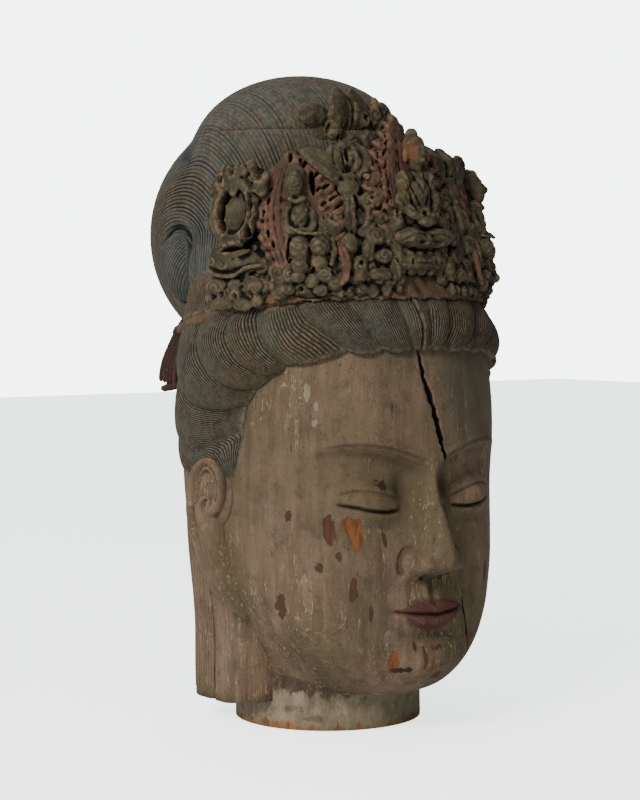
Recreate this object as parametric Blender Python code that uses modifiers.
"""Carved wooden bodhisattva head with a tall topknot and a pierced crown, cut flat under the neck.

Two blocks of wood make it: head_block, and topknot_block on top of a level joint. Metres, +Z up. The face
looks along -Y, and the origin is the middle of the flat cut under the neck. The carving is laid out in
millimetres of the work at its full height and scaled by MM, so it keeps its proportions at any height.
"""

import math

import bmesh
import bpy
import numpy as np
from mathutils import Matrix, Vector

# Driving sizes
WORK_HEIGHT = 0.779  # from the cut under the neck to the top of the topknot
NECK_RADIUS = 0.113
CHEEK_HALF_WIDTH = 0.187
CHEEK_DEPTH = 0.195  # from the neck's axis forward to the cheeks
BACK_DEPTH = 0.140  # from the neck's axis back to the hair behind the ears
CHIN_HEIGHT = 0.062
HAIRLINE_HEIGHT = 0.451
BAND_THICKNESS = 0.011
CROWN_RADIUS = 0.183  # outside of the crown's foot
CROWN_LEAN = 0.33  # how far in the crown's front goes for each metre that it rises; its ends stand straighter
TOPKNOT_HALF_WIDTH = 0.130
HAIR_FALL_HALF_WIDTH = 0.143
HAIR_FALL_END_HEIGHT = 0.026
TOP_BLOCK_HEIGHT = 0.073  # the block on top of the level joint
JOINT_GAP = 0.0003
CARVING_VOXEL = 0.004  # how finely the carving is merged into one surface
HEAD_DETAIL = 0.045  # share of the merged surface's faces that the finished block keeps
TOPKNOT_DETAIL = 0.05

MM = WORK_HEIGHT / 779.0
JOINT_HEIGHT = WORK_HEIGHT - TOP_BLOCK_HEIGHT
JOINT_FRONT = -105 * MM  # the joint runs back from here, so the crown in front of it stays whole
REACH = 2.0  # side of the saw's boxes, in metres, well past the work

CROWN_FOOT = 520 * MM
SIDE_GROUP_ANGLE = 43
COLUMN_ANGLE = 21
END_ANGLE = 71


def wipe_scene():
    for obj in list(bpy.data.objects):
        bpy.data.objects.remove(obj, do_unlink=True)


def collection(name):
    made = bpy.data.collections.new(name)
    bpy.context.scene.collection.children.link(made)
    return made


def material(name, colour, roughness):
    made = bpy.data.materials.new(name)
    made.use_nodes = True
    shader = made.node_tree.nodes["Principled BSDF"]
    shader.inputs["Base Color"].default_value = (*colour, 1)
    shader.inputs["Roughness"].default_value = roughness
    shader.inputs["Metallic"].default_value = 0
    made.diffuse_color = (*colour, 1)
    return made


def bump(value, centre, width):
    """1 at the centre, falling off smoothly on both sides."""
    return math.exp(-(((value - centre) / width) ** 2))


def ramp(value, low, high):
    """0 below low, 1 above high, smooth between them."""
    t = min(max((value - low) / (high - low), 0), 1)
    return t * t * (3 - 2 * t)


def smooth_at(points, t):
    """The place at t, from 0 to 1, on a smooth curve through the points."""
    points = np.asarray(points, float)
    span = t * (len(points) - 1)
    i = min(int(span), len(points) - 2)
    s = span - i
    p0, p1 = points[max(i - 1, 0)], points[i]
    p2, p3 = points[i + 1], points[min(i + 2, len(points) - 1)]
    m1, m2 = (p2 - p0) / 2, (p3 - p1) / 2
    return (
        p1 * (2 * s**3 - 3 * s**2 + 1)
        + m1 * (s**3 - 2 * s**2 + s)
        + p2 * (3 * s**2 - 2 * s**3)
        + m2 * (s**3 - s**2)
    )


# The head's profiles: depth from the axis and height, in step from the cut to the skull's top

CHIN = CHIN_HEIGHT / MM
NECK = NECK_RADIUS / MM
DEPTH = CHEEK_DEPTH / MM
WIDTH = CHEEK_HALF_WIDTH / MM
BACK = BACK_DEPTH / MM

FRONT_PROFILE = [
    (0, -12), (NECK, -12), (NECK, 8), (NECK + 2, CHIN - 26), (DEPTH - 52, CHIN - 17), (DEPTH - 19, CHIN - 4),
    (DEPTH + 1, CHIN + 20), (DEPTH + 4, CHIN + 55), (DEPTH + 1, 165), (DEPTH - 2, 215), (DEPTH - 4, 268),
    (DEPTH - 1, 322), (DEPTH, 370), (DEPTH - 4, 415), (DEPTH - 9, 450), (DEPTH - 15, 482), (DEPTH - 25, 515),
    (DEPTH - 47, 555), (DEPTH - 85, 592), (0, 615),
]  # fmt: skip
SIDE_PROFILE = [
    (0, -12), (NECK, -12), (NECK, 8), (NECK, 52), (NECK + 6, 88), (NECK + 20, 120), (WIDTH - 35, 152),
    (WIDTH - 20, 185), (WIDTH - 9, 222), (WIDTH - 3, 262), (WIDTH, 300), (WIDTH + 1, 335), (WIDTH, 375),
    (WIDTH - 2, 413), (WIDTH - 5, 446), (WIDTH - 9, 474), (WIDTH - 17, 505), (WIDTH - 29, 543),
    (WIDTH - 67, 583), (0, 615),
]  # fmt: skip
BACK_PROFILE = [
    (0, -12), (NECK, -12), (NECK, 8), (NECK, 60), (NECK, 105), (NECK + 2, 148), (NECK + 5, 180),
    (NECK + 9, 212), (NECK + 13, 246), (NECK + 17, 280), (BACK - 9, 315), (BACK - 6, 345), (BACK - 1, 378),
    (BACK + 7, 412), (BACK + 17, 442), (BACK + 26, 468), (BACK + 28, 498), (BACK + 20, 538), (BACK - 20, 580),
    (0, 615),
]  # fmt: skip


PROFILE_STEPS = 240
PROFILES = [
    np.array([smooth_at(points, i / PROFILE_STEPS) for i in range(PROFILE_STEPS + 1)])
    for points in (FRONT_PROFILE, SIDE_PROFILE, BACK_PROFILE)
]
ABOVE_JAW = PROFILE_STEPS // 3  # from this step on the profiles only rise


def head_profile(step, angle):
    """Depth and height on the head's surface, in mm, at a step of the profiles and an angle off the front."""
    shares = (max(math.cos(angle), 0) ** 2, math.sin(angle) ** 2, max(-math.cos(angle), 0) ** 2)
    at = min(step, 1) * PROFILE_STEPS
    low = min(int(at), PROFILE_STEPS - 1)
    beyond = at - low
    depth, height = sum(
        share * (profile[low] * (1 - beyond) + profile[low + 1] * beyond)
        for share, profile in zip(shares, PROFILES)
    )
    return depth * fullness(angle, height), height


def fullness(angle, height):
    """How much fuller the face is than an oval between its front and its sides."""
    between = math.sin(2 * angle) ** 2 if math.cos(angle) > 0 else 0
    return 1 + 0.045 * between * ramp(height, 60, 150) * (1 - ramp(height, 430, 520))


def head_radius(angle, height):
    """The head's radius in mm at an angle from the front and a height above the mouth."""
    shares = (max(math.cos(angle), 0) ** 2, math.sin(angle) ** 2, max(-math.cos(angle), 0) ** 2)
    outline = sum(share * profile[ABOVE_JAW:] for share, profile in zip(shares, PROFILES))
    return float(np.interp(height, outline[:, 1], outline[:, 0])) * fullness(angle, height)


def around(angle, radius, height):
    """A point in metres from an angle off the front, a radius and a height in mm."""
    return Vector((radius * math.sin(angle), -radius * math.cos(angle), height)) * MM


def face_relief(x, z):
    """How far the calm, plain face stands out of the head's oval, in mm, at a place seen from the front."""
    side = abs(x)
    brow = 318 + 24 * math.sin(min(side / 150, 1) * math.pi * 0.78)
    below_brow = brow - z
    socket = 0.0
    if below_brow > 0:
        fading = math.exp(-((below_brow / 66) ** 2))
        socket = -11 * (1 - math.exp(-below_brow / 9)) * bump(side, 52, 62) * fading
    eye = 10 * bump(side, 75, 30) * bump(z, 284, 17)
    slit = -2.5 * bump(side, 75, 27) * bump(z, 274, 4)
    along = ramp(z, 338, 210)
    ridge = 34 * along * ramp(z, 178, 210)
    nose = ridge * bump(side, 0, 15 + 9 * along) + 4 * bump(side, 0, 20) * bump(z, 216, 16)
    wings = 14 * bump(side, 29, 13) * bump(z, 205, 15)
    upper_lip = 8 * bump(side, 0, 38) * bump(z, 156, 8)
    lower_lip = 9 * bump(side, 0, 31) * bump(z, 139, 8)
    mouth_line = -5 * bump(side, 0, 46) * bump(z, 148, 3)
    corner = -4 * bump(side, 52, 9) * bump(z, 150, 10)
    chin_groove = -6 * bump(side, 0, 34) * bump(z, 124, 9)
    chin = 8 * bump(side, 0, 34) * bump(z, 94, 24)
    cheek = 6 * bump(side, 96, 46) * bump(z, 196, 56)
    eyes = socket + eye + slit
    mouth = upper_lip + lower_lip + mouth_line + corner
    return eyes + nose + wings + mouth + chin_groove + chin + cheek


def band_height(angle):
    """Height in mm of the fillet under the crown, which dips to the back of the head."""
    radius = head_radius(angle, 500)
    return 484 + 0.19 * radius * math.cos(angle)


class Carving:
    """One heap of overlapping closed shapes, later merged into a single surface."""

    def __init__(self):
        self.mesh = bmesh.new()

    def sphere(self, place, segments, rings):
        """A sphere whose points go to place(point of the unit sphere)."""
        part = bmesh.new()
        bmesh.ops.create_uvsphere(part, u_segments=segments, v_segments=rings, radius=1)
        for vert in part.verts:
            vert.co = place(vert.co)
        self.take(part)

    def ball(self, frame, centre, radii, segments=12, rings=8):
        middle = Vector(centre)
        self.sphere(lambda co: frame @ (middle + co * Vector(radii)), segments, rings)

    def shaped_ball(self, place, segments, rings):
        """A sphere whose points go to place(step from pole to pole, angle from the front)."""

        def put(co):
            step = 1 - math.acos(max(-1, min(1, co.z))) / math.pi
            return place(step, math.atan2(co.x, -co.y))

        self.sphere(put, segments, rings)

    def slab(self, place, across, along, thickness):
        """A curved slab: a grid placed by place(u, v), given a thickness inwards."""
        part = bmesh.new()
        bmesh.ops.create_grid(part, x_segments=across, y_segments=along, size=0.5)
        for vert in part.verts:
            vert.co = place(vert.co.x + 0.5, vert.co.y + 0.5)
        bmesh.ops.recalc_face_normals(part, faces=part.faces[:])
        centre = sum((v.co for v in part.verts), Vector()) / len(part.verts)
        outward = Vector((centre.x, centre.y, 0))
        if sum((f.normal.dot(outward) for f in part.faces)) < 0:
            bmesh.ops.reverse_faces(part, faces=part.faces[:])
        bmesh.ops.solidify(part, geom=part.faces[:], thickness=thickness)
        self.take(part)

    def take(self, part):
        """Moves another bmesh's shape into this one."""
        data = bpy.data.meshes.new("part")
        part.to_mesh(data)
        part.free()
        self.mesh.from_mesh(data)
        bpy.data.meshes.remove(data)

    def tube(self, frame, points, radii, closed=False, sides=2):
        """A round bar along the points, with its own radius at each."""
        curve = bpy.data.curves.new("tube", "CURVE")
        curve.dimensions = "3D"
        curve.bevel_depth = 1.0
        curve.bevel_resolution = sides
        curve.use_fill_caps = not closed
        spline = curve.splines.new("POLY")
        spline.points.add(len(points) - 1)
        for point, place, radius in zip(spline.points, points, radii):
            point.co = (*(frame @ Vector(place)), 1)
            point.radius = radius
        spline.use_cyclic_u = closed
        holder = bpy.data.objects.new("tube", curve)
        bpy.context.scene.collection.objects.link(holder)
        graph = bpy.context.evaluated_depsgraph_get()
        data = bpy.data.meshes.new_from_object(holder.evaluated_get(graph))
        part = bmesh.new()
        part.from_mesh(data)
        bmesh.ops.remove_doubles(part, verts=part.verts[:], dist=1e-6)
        bpy.data.objects.remove(holder, do_unlink=True)
        bpy.data.curves.remove(curve)
        bpy.data.meshes.remove(data)
        self.take(part)

    def leaf(self, frame, foot, tip, width, thickness, bow=(0, 0, 0)):
        """A pointed leaf from foot to tip, bowed sideways in its middle, lying flat to the frame's front."""
        foot, tip, bow = Vector(foot), Vector(tip), Vector(bow)
        length = tip - foot
        across = length.cross(Vector((0, 1, 0))).normalized()

        def place(co):
            s = (co.z + 1) / 2
            swell = 1.9 * math.sqrt(max(s, 0)) * (1 - s) + 0.12
            round_part = Vector((co.x, co.y, 0))
            return (
                foot
                + length * s
                + bow * (4 * s * (1 - s))
                + across * (round_part.x * swell * width / 2)
                + Vector((0, round_part.y * swell * thickness / 2, 0))
            )

        self.sphere(lambda co: frame @ place(co), 8, 8)


WORLD = Matrix.Scale(MM, 4)


# Head, face, neck and ears


def carve_head(work):
    def place(step, angle):
        depth, height = head_profile(step, angle)
        point = around(angle, depth, height)
        if abs(angle) < math.pi / 2 and 70 < height < 420:
            facing = ramp(math.cos(angle), 0.0, 0.5)
            point.y -= face_relief(point.x / MM, height) * facing * MM
        return point

    work.shaped_ball(place, 120, 110)


def carve_ear(work, side):
    """A long-lobed ear: a curled rim, a hollow with a boss in it, and a lobe that reaches to the neck."""
    rim = []
    for i in range(19):
        turn = math.radians(-20 + 21 * i)
        shrink = 1 - 0.50 * i / 18
        out = 194 - 4 * i / 18 - 2 * math.sin(turn) * shrink
        rim.append((side * out, -26 + 30 * math.cos(turn) * shrink, 285 + 35 * math.sin(turn) * shrink))
    work.tube(WORLD, rim, [8.5 * MM * (1 - 0.3 * i / 18) for i in range(19)])
    work.ball(WORLD, (side * 180, -24, 284), (15, 36, 42))
    work.ball(WORLD, (side * 190, -26, 280), (10, 12, 13))
    lobe = [
        (181, -18, 262), (174, -18, 232), (164, -20, 204), (153, -24, 176), (145, -29, 150), (141, -32, 138),
    ]  # fmt: skip
    work.tube(WORLD, [(side * x, y, z) for x, y, z in lobe], [MM * r for r in (22, 23, 22, 19, 14, 8)])
    back_edge = [
        (194, 4, 286), (193, 5, 258), (186, 3, 230), (175, -3, 200), (164, -12, 172), (153, -22, 146),
    ]  # fmt: skip
    work.tube(WORLD, [(side * x, y, z) for x, y, z in back_edge], [MM * r for r in (8, 9, 9, 9, 9, 7)])


def carve_hair_fall(work):
    """The straight hair behind the ears and over the nape, sawn off a little above the neck's foot."""
    half = HAIR_FALL_HALF_WIDTH / MM
    low = HAIR_FALL_END_HEIGHT / MM

    def back(u, v):
        across = 2 * u - 1
        x = across * (half - 1)
        y = BACK - 17 - 40 * across**2 + 16 * v**2 - 40 * ramp(v, 0.75, 1.0)
        z = low + (380 - low) * v
        return Vector((x, y, z + 8 * across**8 * (1 - v))) * MM

    work.slab(back, 20, 14, 50 * MM)
    for side in (-1, 1):

        def fall(u, v, side=side):
            y = -34 + 134 * u
            x = half + 12 * ramp(v, 0.3, 1.0) - 14 * ramp(u, 0.80, 1.0) - 10 * ramp(1 - u, 0.8, 1.0)
            end = low + 7 * ramp(u, 0.75, 1.0) + 6 * ramp(1 - u, 0.6, 1.0)
            groove = 3 * bump(u, 0.56, 0.05)
            return Vector((side * (x - groove), y, end + (250 - end) * v)) * MM

        work.slab(fall, 14, 12, 46 * MM)


# The locks of hair between the crown and the face. Each is (top edges, bottom edges, how high its end hangs):
# the edges are angles from the front at the band and at the hairline, for the head's right side.

FRONT_LOCKS = [
    ((2, -13), (1, -7), 0),
    ((-11, -31), (-5, -19), 2),
    ((-29, -53), (-17, -34), 4),
    ((-51, -68), (-32, -63), 13),
]
SIDE_LOCKS = [
    ((-65, -85), (-58, -74), 392),
    ((-83, -103), (-66, -84), 362),
    ((-101, -126), (-76, -106), 326),
]


def hairline(angle):
    """Height of the hair's edge over the forehead and temples, in mm, at an angle in degrees."""
    aside = abs(angle)
    return HAIRLINE_HEIGHT / MM - 24 * ramp(aside, 36, 62) - 8 * ramp(aside, 50, 66)


def carve_front_lock(work, side, top, bottom, hang):
    def place(u, v):
        down = 1 - v
        bend = 0.55 * down**1.6 + 0.45 * down
        top_angle = top[0] + (top[1] - top[0]) * u
        low_angle = bottom[0] + (bottom[1] - bottom[0]) * u
        degrees = top_angle + (low_angle - top_angle) * bend
        angle = math.radians(degrees) * side
        high = band_height(angle) - 4
        low = hairline(degrees) - hang * math.sin(math.pi * u) - 3 * math.sin(math.pi * u)
        height = high + (low - high) * down
        swell = math.sin(math.pi * min(max(0.10 + 0.84 * down, 0), 1)) ** 0.6
        pillow = math.sqrt(max(1 - (2 * u - 1) ** 2, 0))
        return around(angle, head_radius(angle, height) - 1 + 8 * swell + 13 * swell * pillow**1.4, height)

    work.slab(place, 10, 12, 22 * MM)


def carve_side_lock(work, side, top, bottom, end):
    def place(u, v):
        down = 1 - v
        top_angle = top[0] + (top[1] - top[0]) * u
        low_angle = bottom[0] + (bottom[1] - bottom[0]) * u
        degrees = top_angle + (low_angle - top_angle) * down**1.5
        angle = math.radians(degrees) * side
        high = band_height(angle) - 4
        low = end - 26 * u
        height = high + (low - high) * down
        swell = math.sin(math.pi * min(max(0.10 + 0.86 * down, 0), 1)) ** 0.5
        pillow = math.sqrt(max(1 - (2 * u - 1) ** 2, 0))
        proud = 1 - ramp(abs(degrees), 96, 122)
        return around(angle, head_radius(angle, height) - 2 + proud * swell * (5 + 13 * pillow**1.4), height)

    work.slab(place, 10, 14, 20 * MM)


def carve_band(work):
    """The plain fillet between the hair and the crown."""
    points = []
    for i in range(64):
        angle = 2 * math.pi * i / 64
        height = band_height(angle)
        points.append(around(angle, head_radius(angle, height) + 3, height) / MM)
    work.tube(WORLD, points, [BAND_THICKNESS / 2] * 64, closed=True)


def carve_tie(work, side):
    """The folded ribbon that ends the band behind the ear, with its thin tail hanging down the hair."""
    work.leaf(WORLD, (side * 144, 84, 480), (side * 148, 112, 402), 32, 26, bow=(side * 6, 6, 5))
    work.ball(WORLD, (side * 146, 92, 462), (16, 16, 22))
    tail = [(144, 100, 430), (143, 100, 390), (140, 98, 340), (136, 92, 290), (132, 84, 262)]
    work.tube(WORLD, [(side * x, y, z) for x, y, z in tail], [MM * r for r in (7, 7, 6, 6, 5)])


# Topknot


def carve_topknot(work):
    half = TOPKNOT_HALF_WIDTH / MM
    work.ball(WORLD, (0, 57, 689), (half, 122, 88.8), 40, 28)
    work.ball(WORLD, (0, 130, 585), (half + 20, 136, 152), 40, 30)
    work.ball(WORLD, (0, 52, 635), (half + 14, 130, 125), 32, 24)
    work.ball(WORLD, (0, 28, 545), (half + 30, 150, 92), 32, 20)
    for side in (-1, 1):
        coil = []
        for i in range(24):
            turn = 2 * math.pi * i / 24
            y = 92 + 31 * math.cos(turn) + 8 * math.sin(turn)
            z = 545 + 47 * math.sin(turn)
            x = (half + 20) * math.sqrt(max(1 - ((y - 130) / 136) ** 2 - ((z - 585) / 152) ** 2, 0.05))
            coil.append((side * (x - 1), y, z))
        work.tube(WORLD, coil, [11 * MM] * 24, closed=True)
        for lean in (-11, 7):
            strand = [(side * (half + 14 - 6 * abs(s)), 92 + lean + 16 * s, 545 + 30 * s) for s in (-1, 0, 1)]
            work.tube(WORLD, strand, [5 * MM, 7 * MM, 5 * MM])
    for turn in (-48, -24, 0, 24, 48, 72):
        carve_sweep(work, math.radians(turn), (0, 130, 585), (half + 20, 136, 152), 3)
    for turn in (20, 50, 80, 110, 140):
        carve_sweep(work, math.radians(turn), (0, 57, 689), (half, 122, 87), 3)


def carve_sweep(work, turn, centre, radii, swell):
    """One lock of hair that runs across a round mass from ear to ear, at a turn up from the level back."""
    thickness = 20
    places = []
    widths = []
    for i in range(17):
        across = math.radians(-74 + 148 * i / 16)
        width = 3 + (thickness - 3) * math.cos(across) ** 0.7
        sunk = [radius - width + swell for radius in radii]
        place = (math.sin(across), math.cos(across) * math.cos(turn), math.cos(across) * math.sin(turn))
        places.append([middle + size * share for middle, size, share in zip(centre, sunk, place)])
        widths.append(width * MM)
    work.tube(WORLD, places, widths, sides=3)


# Crown


def crown_frame(degrees, height, ahead=0.0, tilt=0.0, follow=1.0):
    """Where a piece of the crown stands: x to its left as it looks out, -y outwards and z up.

    It stands ahead of the crown's wall, tilts sideways by tilt degrees, and takes up that share of its lean.
    """
    angle = math.radians(degrees)
    lean = CROWN_LEAN * math.cos(angle)
    foot = around(angle, CROWN_RADIUS / MM - lean * (height - CROWN_FOOT / MM) + ahead, height)
    turned = Matrix.Rotation(angle, 4, "Z") @ Matrix.Rotation(-math.atan(lean * follow), 4, "X")
    return Matrix.Translation(foot) @ turned @ Matrix.Rotation(math.radians(tilt), 4, "Y") @ WORLD


def carve_crown_wall(work):
    """The crown's wall round the head from temple to temple, with a heavier foot."""

    def foot(u, v):
        return crown_frame(-81 + 162 * u, 508 + 42 * v - 10 * (2 * u - 1) ** 2, 2 - 5 * v).translation

    def back(u, v):
        return crown_frame(-79 + 158 * u, 520 + 110 * v - 34 * v * (2 * u - 1) ** 2, -9).translation

    work.slab(foot, 40, 5, 30 * MM)
    work.slab(back, 40, 8, 40 * MM)


def carve_figure(work, frame, height):
    """A small seated figure with crossed legs, in shares of its height from seat to topknot."""

    def part(x, y, z, rx, ry, rz):
        work.ball(frame, (x * height, y * height, z * height), (rx * height, ry * height, rz * height), 10, 8)

    part(0, -0.10, 0.12, 0.30, 0.16, 0.10)
    part(0, 0.0, 0.40, 0.17, 0.13, 0.25)
    part(0, 0.0, 0.55, 0.22, 0.11, 0.09)
    part(0, -0.04, 0.745, 0.105, 0.115, 0.125)
    part(0, -0.01, 0.90, 0.07, 0.075, 0.09)
    part(0, -0.20, 0.26, 0.09, 0.06, 0.05)
    for side in (-1, 1):
        part(side * 0.24, -0.16, 0.13, 0.13, 0.12, 0.11)
        arm = [(side * 0.20, 0, 0.55), (side * 0.26, -0.05, 0.37), (side * 0.07, -0.19, 0.27)]
        points = [(x * height, y * height, z * height) for x, y, z in arm]
        work.tube(frame, points, [0.07 * height * MM, 0.065 * height * MM, 0.05 * height * MM], sides=1)


def carve_mandorla(work, frame, half_width, height, tongues):
    """A flame-edged halo: a pointed plate with a row of flame tongues up each side."""

    def edge(s):
        return half_width * math.sin(math.pi * (0.16 + 0.84 * s) ** 0.9) ** 0.75

    work.leaf(frame, (0, 0, -12), (0, 4, height * 0.90), half_width * 1.8, 16)
    for side in (-1, 1):
        for i in range(tongues):
            s = 0.04 + 0.84 * i / (tongues - 1)
            x = edge(s) * 0.80 * side
            z = height * s * 0.86
            reach = height * (0.24 - 0.05 * s)
            outward = 0.36 - 0.30 * s
            foot = (x * 0.72, 0, z - 6)
            tip = (x + side * reach * outward, 2, z + reach)
            work.leaf(frame, foot, tip, height * 0.135, 15, bow=(side * 5, -2, 0))
    work.leaf(frame, (0, 0, height * 0.70), (0, 3, height), height * 0.16, 15)


def carve_pedestal(work, frame, half_width, height):
    """A seat of curled clouds in two rows."""
    work.ball(frame, (0, -4, height * 0.45), (half_width * 0.92, 15, height * 0.52), 12, 8)
    count = 4
    for i in range(count):
        across = -1 + 2 * i / (count - 1)
        x = across * half_width * 0.72
        y = -5 - 9 * math.cos(across * 1.2)
        work.ball(frame, (x, y, height * 0.22), (half_width * 0.23, 10, height * 0.24), 10, 6)
        work.ball(frame, (x * 0.86, y - 2, height * 0.72), (half_width * 0.22, 10, height * 0.22), 10, 6)


def carve_column(work, side):
    """A leaf column between two halos: a rocky foot, a knotted stem, and two leaves that part at the top."""
    frame = crown_frame(side * COLUMN_ANGLE, CROWN_FOOT / MM, 4, side * 14)
    for i in range(6):
        x = (-17, 2, 19, -10, 10, 0)[i]
        z = (14, 10, 16, 42, 40, 62)[i]
        work.ball(frame, (x, -5 - 3 * (i % 2), z), (12, 12, 17), 8, 6)
    stem = [(0, 0, 20), (-3 * side, -6, 70), (2 * side, -6, 110), (0, -2, 146)]
    work.tube(frame, stem, [9 * MM, 7 * MM, 7 * MM, 8 * MM], sides=1)
    work.ball(frame, (0, -8, 88), (10, 9, 9), 8, 6)
    work.ball(frame, (0, -8, 122), (11, 9, 8), 8, 6)
    for lean in (-1, 1):
        work.leaf(frame, (lean * 2, -4, 118), (lean * 13, 2, 186), 17, 12, bow=(lean * 9, -4, 0))
        work.leaf(frame, (lean * 5, -2, 92), (lean * 21, 0, 140), 13, 10, bow=(lean * 4, -3, 0))
    work.leaf(frame, (side * 2, -4, 132), (side * 42, 4, 172), 15, 11, bow=(side * 4, -5, 8))


def carve_end(work, side):
    """The crown's end: a disc held in a ring, under leaves and over a lotus foot."""
    frame = crown_frame(side * END_ANGLE, CROWN_FOOT / MM - 8, 4)
    turns = [2 * math.pi * i / 20 for i in range(20)]
    ring = [(23 * math.cos(turn), -8, 94 + 29 * math.sin(turn)) for turn in turns]
    work.tube(frame, ring, [5.5 * MM] * 20, closed=True)
    work.ball(frame, (0, -9, 92), (15, 9, 20))
    work.ball(frame, (0, 4, 92), (21, 9, 30))
    for i in range(5):
        x = (-24, -12, 0, 12, 24)[i]
        top = (138, 148, 152, 158, 144)[i]
        work.leaf(frame, (x * 0.6, -2, 112), (x * 1.05, 2, top), 13, 12, bow=(0, -3, 0))
    for i in range(5):
        x = -24 + 12 * i
        work.ball(frame, (x, -12 + abs(x) * 0.25, 44), (8, 9, 10), 8, 6)
        work.ball(frame, (x, -9 + abs(x) * 0.25, 18), (8, 10, 13), 8, 6)
    work.ball(frame, (0, -2, 32), (29, 13, 36), 12, 8)


def carve_top_ornament(work):
    """The leaf cluster in front of the topknot, cut by the joint between the blocks."""
    frame = Matrix.Translation(Vector((0, -66, 640)) * MM) @ Matrix.Rotation(math.radians(-6), 4, "X") @ WORLD
    work.ball(frame, (0, 14, 30), (46, 24, 60), 16, 10)
    work.leaf(frame, (-6, 0, 62), (-13, 2, 119), 30, 18, bow=(-4, -4, 0))
    work.leaf(frame, (8, 0, 60), (10, 2, 118), 28, 18, bow=(5, -4, 0))
    for side in (-1, 1):
        curl = []
        for i in range(12):
            turn = math.radians(100 - 34 * i)
            reach = 17 - 1.1 * i
            curl.append((side * (32 + reach * math.cos(turn)), -6, 78 + reach * math.sin(turn)))
        work.tube(frame, curl, [6 * MM] * 12, sides=1)
        work.ball(frame, (side * 30, 2, 76), (22, 12, 22), 10, 8)
        work.leaf(frame, (side * 34, 0, 62), (side * 47, 2, 104), 16, 12, bow=(side * 4, -2, 0))


def carve_crown(work):
    carve_crown_wall(work)
    carve_mandorla(work, crown_frame(0, 574), 56, 134, 6)
    carve_figure(work, crown_frame(0, 562, 3, 0, 0.15), 138)
    carve_pedestal(work, crown_frame(0, CROWN_FOOT / MM + 2, 4), 42, 42)
    for side in (-1, 1):
        place = side * SIDE_GROUP_ANGLE
        carve_mandorla(work, crown_frame(place, 556, 0, side * 12), 43, 120, 5)
        carve_figure(work, crown_frame(place, 550, 2, side * 10, 0.3), 106)
        carve_pedestal(work, crown_frame(place, CROWN_FOOT / MM - 2, 1, side * 4), 36, 38)
        carve_column(work, side)
        carve_end(work, side)
    carve_top_ornament(work)


# Blocks


def merged(name, work, detail):
    """The heap of shapes as one closed surface: merged, thinned, and without the hollows left inside."""
    data = bpy.data.meshes.new(name)
    work.to_mesh(data)
    block = bpy.data.objects.new(name, data)
    bpy.context.scene.collection.objects.link(block)
    union = block.modifiers.new("union", "REMESH")
    union.mode = "VOXEL"
    union.voxel_size = CARVING_VOXEL
    thin = block.modifiers.new("thin", "DECIMATE")
    thin.ratio = detail
    thin.use_collapse_triangulate = True
    graph = bpy.context.evaluated_depsgraph_get()
    surface = bpy.data.meshes.new_from_object(block.evaluated_get(graph))
    bpy.data.objects.remove(block, do_unlink=True)
    bpy.data.meshes.remove(data)
    keep_outer_shell(surface)
    surface.name = name
    return surface


def keep_outer_shell(surface):
    """Drops the closed hollows inside the surface, and mends the places where it touches itself."""
    mesh = bmesh.new()
    mesh.from_mesh(surface)
    for _ in range(4):
        pinched = [vert for vert in mesh.verts if not vert.is_manifold]
        if not pinched:
            break
        bmesh.ops.delete(mesh, geom=pinched, context="VERTS")
        bmesh.ops.holes_fill(mesh, edges=mesh.edges[:], sides=0)
        bmesh.ops.triangulate(mesh, faces=mesh.faces[:])
    mesh.verts.index_update()
    seen = set()
    shells = []
    for start in mesh.verts:
        if start.index in seen:
            continue
        shell = [start]
        seen.add(start.index)
        for vert in shell:
            for edge in vert.link_edges:
                other = edge.other_vert(vert)
                if other.index not in seen:
                    seen.add(other.index)
                    shell.append(other)
        shells.append(shell)
    largest = max(shells, key=len)
    loose = [vert for shell in shells if shell is not largest for vert in shell]
    bmesh.ops.delete(mesh, geom=loose, context="VERTS")
    mesh.to_mesh(surface)
    mesh.free()


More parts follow.
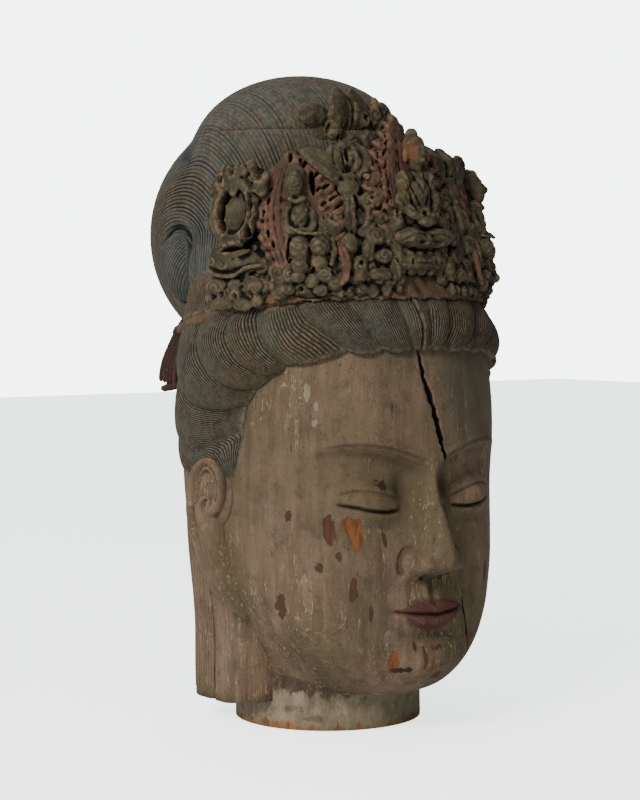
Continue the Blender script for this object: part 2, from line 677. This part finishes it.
def saw_box(name, front, low, cutters):
    """A wide box that reaches back from front and up from low, for the saw cuts."""
    mesh = bmesh.new()
    bmesh.ops.create_cube(mesh, size=REACH)
    data = bpy.data.meshes.new(name)
    mesh.to_mesh(data)
    mesh.free()
    box = bpy.data.objects.new(name, data)
    box.location = (0, front + REACH / 2, low + REACH / 2)
    box.hide_render = True
    box.display_type = "WIRE"
    cutters.objects.link(box)
    return box


def sawn_block(name, surface, look, cuts, parts):
    """A block of the carving, sawn by each (operation, box) in turn."""
    block = bpy.data.objects.new(name, surface)
    surface.materials.clear()
    surface.materials.append(look)
    parts.objects.link(block)
    for operation, box in cuts:
        saw = block.modifiers.new("saw", "BOOLEAN")
        saw.operation = operation
        saw.solver = "EXACT"
        saw.object = box
    surface.shade_smooth()
    return block


def carve_all():
    work = Carving()
    carve_head(work)
    carve_hair_fall(work)
    for side in (-1, 1):
        carve_ear(work, side)
        for top, bottom, hang in FRONT_LOCKS:
            carve_front_lock(work, -side, top, bottom, hang)
        for top, bottom, end in SIDE_LOCKS:
            carve_side_lock(work, -side, top, bottom, end)
        carve_tie(work, side)
    carve_band(work)
    carve_topknot(work)
    carve_crown(work)
    return work


def main():
    wipe_scene()
    parts = collection("bodhisattva_head")
    cutters = collection("cutters")
    work = carve_all()
    paint = material("worn painted wood", (0.23, 0.19, 0.14), 0.75)
    hair_paint = material("worn grey-green hair paint", (0.15, 0.15, 0.12), 0.8)
    head = merged("head_block", work.mesh, HEAD_DETAIL)
    top = merged("topknot_block", work.mesh, TOPKNOT_DETAIL)
    work.mesh.free()
    neck_cut = saw_box("neck_cut", -REACH / 2, 0, cutters)
    joint = saw_box("joint", JOINT_FRONT, JOINT_HEIGHT, cutters)
    top_face = saw_box("top_face", JOINT_FRONT + JOINT_GAP, JOINT_HEIGHT + JOINT_GAP, cutters)
    sawn_block("head_block", head, paint, [("INTERSECT", neck_cut), ("DIFFERENCE", joint)], parts)
    sawn_block("topknot_block", top, hair_paint, [("INTERSECT", top_face)], parts)


main()
